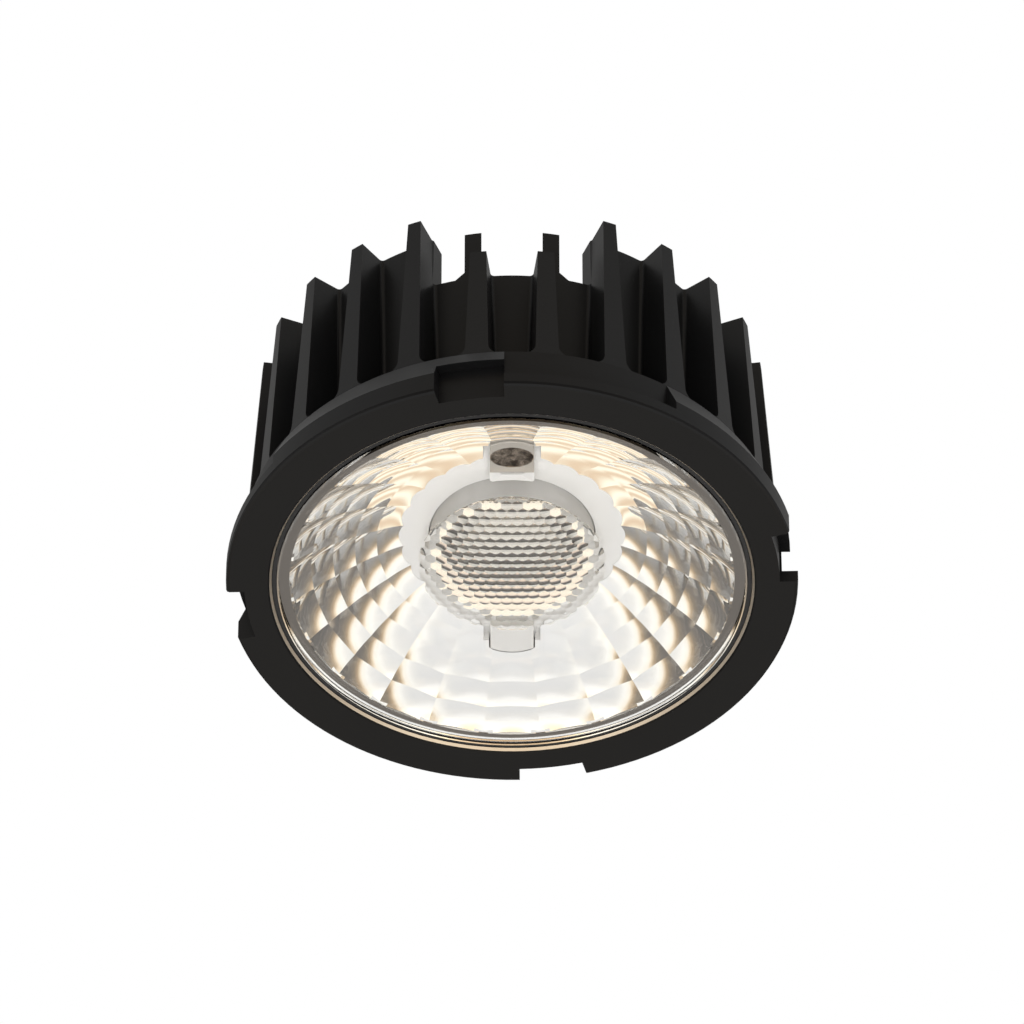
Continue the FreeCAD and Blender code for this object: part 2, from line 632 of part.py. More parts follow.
def terminal_block():
    """Two-pole push-in terminal on the rear floor, with its wire entries towards the cable gap."""
    top = REAR_FLOOR + TERMINAL_HEIGHT
    body = block(TERMINAL_WIDTH, TERMINAL_DEPTH, REAR_FLOOR, top, 0, PIN_Y)
    upright = [edge for edge in body.Edges if edge.BoundBox.ZLength > TERMINAL_HEIGHT / 2]
    body = body.makeFillet(TERMINAL_EDGE, upright)
    front = PIN_Y - TERMINAL_DEPTH / 2
    entry_z = REAR_FLOOR + TERMINAL_ENTRY_LEVEL
    inwards = Vector(0, 1, 0)
    for x in (-CONTACT_X, CONTACT_X):
        entry = Part.makeCylinder(TERMINAL_ENTRY / 2, TERMINAL_ENTRY_DEPTH + OVERCUT,
                                  Vector(x, front - OVERCUT, entry_z), inwards)
        funnel = Part.makeCone(TERMINAL_ENTRY / 2 + TERMINAL_FUNNEL, TERMINAL_ENTRY / 2, TERMINAL_FUNNEL,
                               Vector(x, front, entry_z), inwards)
        body = body.cut([entry, funnel])
        body = body.cut(disc(PIN_RADIUS + BUSH_CLEARANCE, REAR_FLOOR - OVERCUT,
                             pin_top() + BUSH_CLEARANCE, x, PIN_Y))
    step = REAR_FLOOR + TERMINAL_STEP
    ear = TERMINAL_WIDTH / 2 - TERMINAL_SCREW_X + TERMINAL_HEAD / 2 + 2 * SCREW_CLEARANCE
    for side in (-1, 1):
        body = body.cut(disc(TERMINAL_THREAD / 2 + SCREW_CLEARANCE, REAR_FLOOR - OVERCUT, top + OVERCUT,
                             side * TERMINAL_SCREW_X, PIN_Y))
        body = body.cut(block(ear + OVERCUT, TERMINAL_DEPTH + 2 * OVERCUT, step, top + OVERCUT,
                              side * (TERMINAL_WIDTH - ear + OVERCUT) / 2, PIN_Y))
    return body


def terminal_clips():
    """Two steel plates inside the wire entries, which bite the wire and meet the pins."""
    low = REAR_FLOOR + TERMINAL_ENTRY_LEVEL - WIRE_CLIP_DROP
    front = PIN_Y - TERMINAL_DEPTH / 2 + WIRE_CLIP_INSET
    reach = PIN_Y - PIN_RADIUS - front
    return Part.makeCompound([block(WIRE_CLIP_WIDTH, reach, low, low + WIRE_CLIP_THICK, x, front + reach / 2)
                              for x in (-CONTACT_X, CONTACT_X)])


def terminal_screws():
    """Two small screws that hold the terminal block to the rear floor, heads up."""
    step = REAR_FLOOR + TERMINAL_STEP
    top = step + TERMINAL_HEAD_HEIGHT
    screws = []
    for x in (-TERMINAL_SCREW_X, TERMINAL_SCREW_X):
        shaft = disc(TERMINAL_THREAD / 2, REAR_FLOOR - SCREW_BITE, step, x, PIN_Y)
        head = disc(TERMINAL_HEAD / 2, step, top, x, PIN_Y)
        slot = block(TERMINAL_HEAD + OVERCUT, TERMINAL_SLOT, step + TERMINAL_HEAD_HEIGHT / 2,
                     top + OVERCUT, x, PIN_Y)
        screws.append(head.cut(slot).fuse(shaft))
    return Part.makeCompound(screws)


PIECES = (heat_sink, cover_glass, cover_gasket, reflector, lens_collar, dome_lens, light_tube,
          collar_pins, holder_screws, thermal_pad, cob_board, phosphor_disc, cob_dam, cob_holder,
          contact_springs, feed_bushes, feed_pins, terminal_block, terminal_clips, terminal_screws)


def main():
    """Build every piece and write one STEP file for each."""
    os.makedirs("parts", exist_ok=True)
    for piece in PIECES:
        shape = piece()
        name = piece.__name__
        print(name, "solids", len(shape.Solids), "valid", shape.isValid(), "volume", round(shape.Volume, 2))
        shape.exportStep("parts/" + name + ".step")


main()
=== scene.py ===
"""The looks of a round LED spot module: black casting, scooped bright reflector, honeycomb lens.

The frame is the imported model. The light leaves towards -Z through the front ring at Z = 0, and the
camera looks up at it from the cable side, at -Y. Lengths are in metres unless a name says otherwise.
"""
import bmesh
import bpy
import math

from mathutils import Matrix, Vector

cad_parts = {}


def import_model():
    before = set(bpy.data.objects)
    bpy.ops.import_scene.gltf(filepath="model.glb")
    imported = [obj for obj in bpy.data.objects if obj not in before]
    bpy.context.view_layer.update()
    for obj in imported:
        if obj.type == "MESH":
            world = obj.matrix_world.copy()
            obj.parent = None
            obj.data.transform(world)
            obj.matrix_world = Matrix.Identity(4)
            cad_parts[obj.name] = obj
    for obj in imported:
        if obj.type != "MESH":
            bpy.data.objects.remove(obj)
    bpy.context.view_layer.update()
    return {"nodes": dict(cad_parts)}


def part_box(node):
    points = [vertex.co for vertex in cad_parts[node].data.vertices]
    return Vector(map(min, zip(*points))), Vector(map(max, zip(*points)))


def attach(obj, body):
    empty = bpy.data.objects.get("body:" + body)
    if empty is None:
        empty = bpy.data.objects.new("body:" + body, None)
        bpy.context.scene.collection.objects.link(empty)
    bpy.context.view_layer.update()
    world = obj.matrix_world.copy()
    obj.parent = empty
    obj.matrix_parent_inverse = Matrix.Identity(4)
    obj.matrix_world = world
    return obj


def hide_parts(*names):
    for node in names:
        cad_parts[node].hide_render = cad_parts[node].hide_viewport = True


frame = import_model()
NODES = frame["nodes"]
MM = 0.001

# Camera: the photograph is taken from 44 degrees below the front face, on the cable side
CAMERA_DISTANCE = 0.7968
CAMERA_BELOW = math.radians(44.03)
CAMERA_PITCH = math.radians(0.47)
CAMERA_LENS_MM = 320.7
CAMERA_SENSOR_MM = 36.0
CAMERA_CLIP = (0.01, 20.0)

# Floor
FLOOR_RADIUS = 0.9
FLOOR_SIDES = 96
FLOOR_DROP = 0.2 * MM
FLOOR_FADE = (0.12, 0.81)
FLOOR_COLOUR = (0.86, 0.86, 0.85, 1.0)

# Lamps: name, place, size and power
LAMP_TARGET = (0.0, 0.0, 12.0 * MM)
LAMPS = [
    ("side_left", (-0.5, -0.15, 0.1), 0.4, 2.0),
    ("side_right", (0.5, -0.15, 0.1), 0.4, 2.0),
    ("below", (0.0, -0.35, -0.5), 0.4, 2.6),
    ("above", (0.1, 0.2, 0.6), 0.5, 3.0),
]

# World: white to the camera, an even grey on the pieces, and a graded studio in mirrors and clear pieces
WHITE = (1.0, 1.0, 1.0, 1.0)
AMBIENT = (0.7, 0.7, 0.7, 1.0)

# Studio colour by the height of a direction, from straight down at -1 to straight up at 1
STUDIO_HEIGHT_GRADES = [
    (-1.0, (1.0, 1.0, 1.0, 1.0)),
    (-0.88, (1.0, 1.0, 0.99, 1.0)),
    (-0.82, (1.08, 1.07, 1.04, 1.0)),
    (-0.75, (1.26, 1.24, 1.18, 1.0)),
    (-0.685, (1.28, 1.20, 1.06, 1.0)),
    (-0.65, (1.05, 0.87, 0.64, 1.0)),
    (-0.615, (0.62, 0.47, 0.32, 1.0)),
    (-0.559, (0.36, 0.30, 0.23, 1.0)),
    (-0.469, (0.26, 0.235, 0.21, 1.0)),
    (-0.342, (0.22, 0.21, 0.2, 1.0)),
    (0.2, (0.26, 0.25, 0.24, 1.0)),
    (1.0, (0.60, 0.60, 0.60, 1.0)),
]

# Studio colour by the depth of a direction, from the cable side at -1 to the far side at 1
STUDIO_DEPTH_GRADES = [
    (-1.0, (0.60, 0.46, 0.32, 1.0)),
    (-0.72, (0.68, 0.52, 0.36, 1.0)),
    (-0.66, (0.95, 0.76, 0.55, 1.0)),
    (-0.615, (1.22, 1.14, 0.88, 1.0)),
    (-0.56, (1.26, 1.24, 1.18, 1.0)),
    (-0.44, (1.15, 1.14, 1.12, 1.0)),
    (-0.34, (0.96, 0.95, 0.93, 1.0)),
    (-0.2, (0.93, 0.93, 0.92, 1.0)),
    (0.0, (0.98, 0.975, 0.96, 1.0)),
    (1.0, (1.0, 1.0, 0.99, 1.0)),
]
STUDIO_GAP_BELOW = math.radians(44.0)
STUDIO_GAP = math.radians(5.0)
STUDIO_GAP_EDGE = math.radians(8.0)
STUDIO_GAP_COLOUR = (0.17, 0.155, 0.14, 1.0)

# Light tube: painted glow of its inner wall by height, from its front end at -1 to the board at 1
TUBE_ENDS = (4.2 * MM, 9.2 * MM)
TUBE_MIDDLE_RADIUS = 6.9 * MM
TUBE_PAINTED_GLOW_GRADES = [
    (-1.0, (1.15, 1.06, 0.88, 1.0)),
    (-0.6, (1.05, 0.92, 0.74, 1.0)),
    (-0.32, (0.85, 0.68, 0.55, 1.0)),
    (-0.12, (0.06, 0.055, 0.05, 1.0)),
    (0.6, (0.0, 0.0, 0.0, 1.0)),
    (1.0, (0.02, 0.02, 0.02, 1.0)),
]

# Reflector: a ring of spherical scoops between two radii, repeated round the axis
SCOOP_COLUMNS = 24
SCOOP_RINGS = 5
SCOOP_BALL = 8.0 * MM
SCOOP_STEPS_ROUND = 12
SCOOP_STEPS_OUT = 9
DISH_INNER = 9.95 * MM
DISH_RIM = 19.45 * MM
DISH_SLOPE = math.radians(20.3)
DISH_WALL = 1.1 * MM
RIM_LAND = 0.3 * MM
FLANGE_STEP = 0.6 * MM
SEAT_CLEARANCE = 0.05 * MM
WELL_RADIUS = 19.9 * MM
DISH_SHARP_ANGLE = math.radians(7.0)

# How far from its plain place a cusp between two scoops is looked for
INNER_CUSP_IN = 2.2 * MM
INNER_CUSP_OUT = 0.1 * MM
CUSP_SWING = 1.2 * MM
CUSP_HALVINGS = 40

# Openings in the reflector for the two pins
SLOT_WIDTH = 5.05 * MM
SLOT_END = 12.2 * MM
HEAD_WIDTH = 3.84 * MM
HEAD_PLACE = 11.3 * MM
HEAD_ARC = 3.9 * MM
HEAD_CLEARANCE = 0.12 * MM
HEAD_STEPS = 16
CUT_HEIGHT = 12.0 * MM

# Keeps a face off the back of a clear piece, because rays miss faces that coincide
FACE_GAP = 0.02 * MM

# Haze of clear pieces: its roughest spots, as a share of their roughness and a least amount on top
HAZE_SHARE = 1.4
HAZE_LEAST = 0.003

# Bare metal on the casting's mouth, and the painted reflections on the pins: an oval on the near pin, and a
# tone running from the near pin to the far one
CHAMFER_RADIUS = 21.2 * MM
CHAMFER_DEPTH = 0.36 * MM
PAINTED_REFLECTION_PLACE = -11.3 * MM
PAINTED_REFLECTION_SIZE = (1.9 * MM, 1.2 * MM)
PIN_PAINTED_TONE_SPAN = (-2.0 * MM, 2.0 * MM)

# Lens
LENS_BASE_THICK = 1.05 * MM
LENS_FRONT_RADIUS = 8.2 * MM
LENS_CROWN = 0.8 * MM
LENS_PLATE = 1.2 * MM
LENS_EDGE_STEP = 0.12 * MM
LENS_CAVITY_RADIUS = 7.34 * MM
LENS_SHARP_ANGLE = math.radians(14.0)
CELL_SIDES = 6
CELL_PITCH = 0.95 * MM
CELL_SAG = 0.13 * MM
CELL_RINGS = 4
CELL_OVERHANG = 0.3
WELD_DISTANCE = 0.01 * MM
SLIVER_LENGTH = 0.002 * MM


def link(piece):
    """Puts a new object in the scene."""
    bpy.context.scene.collection.objects.link(piece)
    return piece


def object_from(bm, name):
    """A scene object from a bmesh, which is freed."""
    mesh = bpy.data.meshes.new(name)
    bm.to_mesh(mesh)
    bm.free()
    return link(bpy.data.objects.new(name, mesh))


def mark_sharp(bm, angle):
    """Smooth shading, with a hard edge wherever two faces meet at more than an angle."""
    for face in bm.faces:
        face.smooth = True
    for edge in bm.edges:
        edge.smooth = len(edge.link_faces) == 2 and edge.calc_face_angle(0.0) < angle


def stand_for(piece, node):
    """The piece takes the place of a CAD node and rides with the module."""
    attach(piece, "root")
    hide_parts(node)
    return piece


# Shader nodes


def feed(tree, socket, value):
    """Links an output to a socket, or sets the socket to a plain value."""
    if isinstance(value, bpy.types.NodeSocket):
        tree.links.new(value, socket)
    else:
        socket.default_value = value


def maths(tree, operation, first, second, clamp=False):
    """The result of one operation on two numbers."""
    node = tree.nodes.new("ShaderNodeMath")
    node.operation = operation
    node.use_clamp = clamp
    feed(tree, node.inputs[0], first)
    feed(tree, node.inputs[1], second)
    return node.outputs["Value"]


def length(tree, vector):
    """The length of a vector."""
    node = tree.nodes.new("ShaderNodeVectorMath")
    node.operation = "LENGTH"
    tree.links.new(vector, node.inputs[0])
    return node.outputs["Value"]


def beyond_radius(tree, coords, radius):
    """One outside a radius round the axis, zero inside it."""
    flat = tree.nodes.new("ShaderNodeVectorMath")
    flat.operation = "MULTIPLY"
    flat.inputs[1].default_value = (1.0, 1.0, 0.0)
    tree.links.new(coords, flat.inputs[0])
    return maths(tree, "GREATER_THAN", length(tree, flat.outputs["Vector"]), radius)


def piece_coords(tree):
    """Coordinates in object space, so that a pattern stays on its piece."""
    return tree.nodes.new("ShaderNodeTexCoord").outputs["Object"]


def along(tree, coords, axis):
    """One of the coordinates, X, Y or Z."""
    parts = tree.nodes.new("ShaderNodeSeparateXYZ")
    tree.links.new(coords, parts.inputs["Vector"])
    return parts.outputs[axis]


def noise(tree, scale, detail=3.0, roughness=0.55):
    """Noise from 0 to 1 that stays on the piece."""
    texture = tree.nodes.new("ShaderNodeTexNoise")
    texture.inputs["Scale"].default_value = scale
    texture.inputs["Detail"].default_value = detail
    texture.inputs["Roughness"].default_value = roughness
    tree.links.new(piece_coords(tree), texture.inputs["Vector"])
    return texture.outputs["Fac"]


def mapped(tree, source, limits=(0.0, 1.0), results=(0.0, 1.0), interpolation="LINEAR"):
    """Maps a value between two limits to a range, and holds it at the range's ends."""
    node = tree.nodes.new("ShaderNodeMapRange")
    node.interpolation_type = interpolation
    node.inputs["From Min"].default_value, node.inputs["From Max"].default_value = limits
    node.inputs["To Min"].default_value, node.inputs["To Max"].default_value = results
    tree.links.new(source, node.inputs["Value"])
    return node.outputs["Result"]


def mixed_colour(tree, factor, first, second, blend="MIX"):
    """A blend of two colours by a factor."""
    node = tree.nodes.new("ShaderNodeMix")
    node.data_type = "RGBA"
    node.blend_type = blend
    feed(tree, node.inputs["Factor"], factor)
    feed(tree, node.inputs["A"], first)
    feed(tree, node.inputs["B"], second)
    return node.outputs["Result"]


def graded(tree, source, limits, grades):
    """Colours along a value. Their places run from -1 at its low limit to 1 at its high one."""
    ramp = tree.nodes.new("ShaderNodeValToRGB")
    tree.links.new(mapped(tree, source, limits), ramp.inputs["Fac"])
    elements = ramp.color_ramp.elements
    elements[0].color = grades[0][1]
    elements[1].color = grades[-1][1]
    for place, colour in grades[1:-1]:
        elements.new((place + 1) / 2).color = colour
    return ramp.outputs["Color"]


def bump(tree, shader, height, strength, distance):
    """Fine relief on a shader."""
    node = tree.nodes.new("ShaderNodeBump")
    node.inputs["Strength"].default_value = strength
    node.inputs["Distance"].default_value = distance
    tree.links.new(height, node.inputs["Height"])
    tree.links.new(node.outputs["Normal"], shader.inputs["Normal"])


def mixed_surface(tree, factor, first, second):
    """Sends a blend of two shaders to the material's output."""
    mix = tree.nodes.new("ShaderNodeMixShader")
    tree.links.new(factor, mix.inputs["Fac"])
    tree.links.new(first, mix.inputs[1])
    tree.links.new(second, mix.inputs[2])
    tree.links.new(mix.outputs["Shader"], tree.nodes["Material Output"].inputs["Surface"])


# Materials


def new_material(name):
    """A node material, with its tree and its shader."""
    material = bpy.data.materials.new(name)
    material.use_nodes = True
    tree = material.node_tree
    return material, tree, tree.nodes["Principled BSDF"]


def dimmed(colour, share):
    """A colour at a share of its brightness."""
    return tuple(share * channel for channel in colour[:3]) + (1,)


def black_coat():
    """Satin black powder coat with a fine orange peel, and bare metal on the mouth's cut chamfer."""
    material, tree, shader = new_material("black_coat")
    fine = noise(tree, scale=2600.0, detail=2.0)
    broad = noise(tree, scale=90.0)
    paint = mixed_colour(tree, broad, (0.004, 0.004, 0.0042, 1), (0.006, 0.006, 0.0062, 1))
    coords = piece_coords(tree)
    shallow = maths(tree, "LESS_THAN", along(tree, coords, "Z"), CHAMFER_DEPTH)
    bare = maths(tree, "SUBTRACT", shallow, beyond_radius(tree, coords, CHAMFER_RADIUS), clamp=True)
    feed(tree, shader.inputs["Base Color"], mixed_colour(tree, bare, paint, (0.95, 0.86, 0.74, 1)))
    feed(tree, shader.inputs["Metallic"], bare)
    feed(tree, shader.inputs["Roughness"], mapped(tree, broad, results=(0.36, 0.44)))
    shader.inputs["Specular IOR Level"].default_value = 0.2
    bump(tree, shader, fine, strength=0.12, distance=0.04 * MM)
    return material


def rubber(name, colour):
    """Matt rubber or silicone with a fine grain."""
    material, tree, shader = new_material(name)
    grain = noise(tree, scale=1800.0)
    feed(tree, shader.inputs["Base Color"], mixed_colour(tree, grain, dimmed(colour, 0.8), colour))
    shader.inputs["Roughness"].default_value = 0.65
    bump(tree, shader, grain, strength=0.15, distance=0.05 * MM)
    return material


def moulded(name, colour, roughness):
    """Moulded plastic or ceramic: nearly even colour with a faint flow mark and a fine texture."""
    material, tree, shader = new_material(name)
    flow = noise(tree, scale=140.0, detail=2.0)
    grain = noise(tree, scale=3000.0, detail=2.0)
    feed(tree, shader.inputs["Base Color"], mixed_colour(tree, flow, dimmed(colour, 0.965), colour))
    feed(tree, shader.inputs["Roughness"], mapped(tree, flow, results=(roughness, roughness + 0.08)))
    bump(tree, shader, grain, strength=0.06, distance=0.04 * MM)
    return material


def metal(name, colour, polish, relief=0.05):
    """Bare or metallised metal. Its roughness wanders between the two limits of its polish."""
    material, tree, shader = new_material(name)
    patches = noise(tree, scale=400.0, detail=4.0)
    feed(tree, shader.inputs["Base Color"], mixed_colour(tree, patches, dimmed(colour, 0.94), colour))
    feed(tree, shader.inputs["Roughness"], mapped(tree, patches, results=polish))
    shader.inputs["Metallic"].default_value = 1.0
    bump(tree, shader, patches, strength=relief, distance=0.03 * MM)
    return material


def clear(name, ior, roughness, tint):
    """Clear plastic or glass. Lamps shine through it, so what is behind it stays lit."""
    material, tree, shader = new_material(name)
    haze = noise(tree, scale=500.0, detail=2.0)
    haziest = HAZE_SHARE * roughness + HAZE_LEAST
    feed(tree, shader.inputs["Roughness"], mapped(tree, haze, results=(roughness, haziest)))
    shader.inputs["Base Color"].default_value = tint
    shader.inputs["Transmission Weight"].default_value = 1.0
    shader.inputs["IOR"].default_value = ior
    path = tree.nodes.new("ShaderNodeLightPath")
    through = tree.nodes.new("ShaderNodeBsdfTransparent")
    mixed_surface(tree, path.outputs["Is Shadow Ray"], shader.outputs["BSDF"], through.outputs["BSDF"])
    return material


def clear_flank():
    """The polished side wall of the lens, clear to the eye, with a painted warm ribbed glow that only
    mirrored rays see, so the reflector shows it as a painted reflection of the lit lens.

    A ray that went through a clear piece counts as glossy too, so those are taken off.
    """
    material, tree, shader = new_material("lens_flank")
    # Painted glow: stripes of warm light on the flank, seen only in mirrors, stand in for the lit lens that
    # the scoops reflect.
    painted_glow_stripes = tree.nodes.new("ShaderNodeTexWave")
    painted_glow_stripes.bands_direction = "Z"
    painted_glow_stripes.inputs["Scale"].default_value = 262.0
    tree.links.new(piece_coords(tree), painted_glow_stripes.inputs["Vector"])
    painted_glow = mixed_colour(tree, painted_glow_stripes.outputs["Fac"], (0.95, 0.74, 0.52, 1), (1.28, 1.2, 0.98, 1))
    path = tree.nodes.new("ShaderNodeLightPath")
    mirrored = maths(tree, "SUBTRACT", path.outputs["Is Glossy Ray"],
                     path.outputs["Is Transmission Ray"], clamp=True)
    feed(tree, shader.inputs["Emission Color"], painted_glow)
    feed(tree, shader.inputs["Emission Strength"], mirrored)
    feed(tree, shader.inputs["Alpha"], mirrored)
    shader.inputs["Base Color"].default_value = (0.01, 0.01, 0.01, 1)
    shader.inputs["Specular IOR Level"].default_value = 0.0
    shader.inputs["Roughness"].default_value = 0.1
    return material


def tube_wall():
    """Light tube: a pale outer wall, and an inner one painted dark as shade, with a painted cream and peach
    glow at its front end.
    """
    material, tree, shader = new_material("tube_white")
    coords = piece_coords(tree)
    outside = beyond_radius(tree, coords, TUBE_MIDDLE_RADIUS)
    # Painted shade: the inner wall is near black and the outer one pale, though both are the same white
    # tube.
    colour = mixed_colour(tree, outside, (0.05, 0.05, 0.05, 1), (0.66, 0.66, 0.655, 1))
    feed(tree, shader.inputs["Base Color"], colour)
    # Painted glow: the inner wall glows cream and peach at its front end, fading to dark towards the board.
    feed(tree, shader.inputs["Emission Color"],
         graded(tree, along(tree, coords, "Z"), TUBE_ENDS, TUBE_PAINTED_GLOW_GRADES))
    feed(tree, shader.inputs["Emission Strength"], mapped(tree, outside, results=(1.0, 0.0)))
    shader.inputs["Roughness"].default_value = 0.6
    return material


def pin_metal():
    """Bright heads with painted reflections: the near pin's has a dark brown mottled oval painted where it
    would mirror the lens, and outside it the heads are near matt, tan on the near pin and painted as pale as
    its seat on the far one.
    """
    material, tree, shader = new_material("screw_bright")
    coords = piece_coords(tree)
    # Painted reflection: a dark brown mottle in an oval on the near pin's head, where it would mirror the
    # lens. The same noise also varies the roughness and the bump.
    mottle = noise(tree, scale=1500.0, detail=4.0, roughness=0.6)
    patches = mapped(tree, mottle, limits=(0.35, 0.65))
    painted_reflection = mixed_colour(tree, patches, (0.10, 0.07, 0.05, 1), (0.95, 0.85, 0.75, 1))
    oval = tree.nodes.new("ShaderNodeMapping")
    oval.vector_type = "TEXTURE"
    oval.inputs["Location"].default_value = (0.0, PAINTED_REFLECTION_PLACE, 0.0)
    oval.inputs["Scale"].default_value = (*PAINTED_REFLECTION_SIZE, 1.0)
    tree.links.new(coords, oval.inputs["Vector"])
    beyond = mapped(tree, length(tree, oval.outputs["Vector"]), limits=(0.96, 1.04))
    # Painted reflection: outside the oval the heads are near matt, tan on the near pin and pale on the far
    # one, in place of what they would mirror.
    side = mapped(tree, along(tree, coords, "Y"), limits=PIN_PAINTED_TONE_SPAN)
    plain = mixed_colour(tree, side, (0.5, 0.47, 0.43, 1), (0.88, 0.88, 0.87, 1))
    feed(tree, shader.inputs["Base Color"], mixed_colour(tree, beyond, painted_reflection, plain))
    feed(tree, shader.inputs["Metallic"], mapped(tree, beyond, results=(1.0, 0.1)))
    feed(tree, shader.inputs["Roughness"], mapped(tree, mottle, results=(0.05, 0.12)))
    bump(tree, shader, mottle, strength=0.25, distance=0.04 * MM)
    return material


def phosphor():
    """The layer over the chips: warm white, with a faint even glow."""
    material, tree, shader = new_material("phosphor")
    grain = noise(tree, scale=2500.0)
    colour = mixed_colour(tree, grain, (0.72, 0.70, 0.66, 1), (0.84, 0.83, 0.80, 1))
    feed(tree, shader.inputs["Base Color"], colour)
    shader.inputs["Roughness"].default_value = 0.5
    shader.inputs["Emission Color"].default_value = (1.0, 0.97, 0.93, 1)
    shader.inputs["Emission Strength"].default_value = 0.15
    return material


def finish_nodes():
    """Gives every CAD node its finish."""
    finishes = {
        "heat_sink": black_coat(),
        "cover_glass": clear("cover_clear", 1.45, 0.0, (1, 1, 1, 1)),
        "cover_gasket": rubber("gasket_black", (0.015, 0.015, 0.016, 1)),
        "reflector": metal("reflector_metal", (0.97, 0.965, 0.955, 1), (0.0, 0.01), relief=0.0),
        "lens_collar": moulded("collar_white", (0.92, 0.92, 0.915, 1), 0.4),
        "dome_lens": clear("lens_clear", 1.49, 0.01, (0.99, 0.985, 0.97, 1)),
        "light_tube": tube_wall(),
        "collar_pins": pin_metal(),
        "thermal_pad": rubber("pad_grey", (0.3, 0.31, 0.33, 1)),
        "cob_board": moulded("board_ceramic", (0.82, 0.82, 0.8, 1), 0.5),
        "phosphor_disc": phosphor(),
        "cob_dam": rubber("dam_white", (0.86, 0.86, 0.84, 1)),
        "cob_holder": moulded("holder_white", (0.82, 0.82, 0.8, 1), 0.45),
        "feed_pins": metal("contact_brass", (0.83, 0.65, 0.33, 1), (0.2, 0.35)),
        "terminal_block": moulded("terminal_grey", (0.045, 0.045, 0.05, 1), 0.45),
        "terminal_clips": metal("clip_steel", (0.62, 0.62, 0.61, 1), (0.25, 0.4)),
    }
    finishes["holder_screws"] = finishes["collar_pins"]
    finishes["contact_springs"] = finishes["feed_pins"]
    finishes["feed_bushes"] = finishes["cob_holder"]
    finishes["terminal_screws"] = finishes["terminal_clips"]
    for name, node in NODES.items():
        for slot in node.material_slots:
            slot.material = finishes[name]
    return finishes


# Reflector


def dish_corners(inner_z, cover_back):
    """Corner points of the scoop rings, from the inner edge out to the rim."""
    run = DISH_RIM - DISH_INNER
    drop = inner_z - cover_back - RIM_LAND
    slope = math.tan(DISH_SLOPE)
    bend = (drop - slope * run) / run ** 2
    corners = []
    for index in range(SCOOP_RINGS + 1):
        out = run * index / SCOOP_RINGS
        corners.append((DISH_INNER + out, inner_z - slope * out - bend * out ** 2))
    return corners


def ball_centres(corners):
    """Centre of the ball that cuts each ring of scoops, as (radius, height) in the column's plane."""
    centres = []
    for (r0, z0), (r1, z1) in zip(corners, corners[1:]):
        chord = math.hypot(r1 - r0, z1 - z0)
        across = math.sqrt(SCOOP_BALL ** 2 - (chord / 2) ** 2)
        centres.append(((r0 + r1) / 2 + (z1 - z0) / chord * across,
                        (z0 + z1) / 2 - (r1 - r0) / chord * across))
    return centres


def ball_height(centre, radius, angle):
    """Height of a ball's upper side at a radius and at an angle from the column's middle."""
    inside = SCOOP_BALL ** 2 - (radius * math.cos(angle) - centre[0]) ** 2 - (radius * math.sin(angle)) ** 2
    return centre[1] + math.sqrt(max(inside, 0.0))


def crossing(difference, low, high):
    """The radius between two others at which a function that changes sign there is zero."""
    sign = difference(low) > 0
    for _ in range(CUSP_HALVINGS):
        middle = (low + high) / 2
        if (difference(middle) > 0) == sign:
            low = middle
        else:
            high = middle
    return (low + high) / 2


def cusp_radii(centres, corners, inner_z, angle):
    """Radii of the inner edge, of the cusps between the scoops and of the rim, at an angle in a column."""
    cusps = [crossing(lambda r: ball_height(centres[0], r, angle) - inner_z,
                      DISH_INNER - INNER_CUSP_IN, DISH_INNER + INNER_CUSP_OUT)]
    for index in range(1, SCOOP_RINGS):
        cusps.append(crossing(lambda r: ball_height(centres[index - 1], r, angle)
                              - ball_height(centres[index], r, angle),
                              corners[index][0] - CUSP_SWING, corners[index][0] + CUSP_SWING))
    cusps.append(DISH_RIM)
    return cusps


def scooped_front(centres, cusps, angle, lowest):
    """Points of the scooped face from the inner edge out to the rim, as (radius, height)."""
    points = []
    for centre, start, end in zip(centres, cusps, cusps[1:]):
        for step in range(SCOOP_STEPS_OUT):
            radius = start + (end - start) * step / SCOOP_STEPS_OUT
            points.append((radius, max(ball_height(centre, radius, angle), lowest)))
    points.append((DISH_RIM, max(ball_height(centres[-1], DISH_RIM, angle), lowest)))
    return points


def flange_and_back(corners, cover_back, inner_z, flange_radius):
    """Points of the flange and of the smooth back, from the rim in, as (radius, height)."""
    face = cover_back + FACE_GAP
    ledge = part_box("cover_gasket")[1].z
    well = WELL_RADIUS - 2 * SEAT_CLEARANCE
    aslant = math.sin(math.atan2(inner_z - cover_back, DISH_RIM - DISH_INNER))
    points = [(DISH_RIM, face), (flange_radius, face), (flange_radius, ledge), (well, ledge),
              (well, ledge + FLANGE_STEP)]
    points += [(r + DISH_WALL * aslant, min(z + DISH_WALL, inner_z)) for r, z in reversed(corners[1:-1])]
    return points


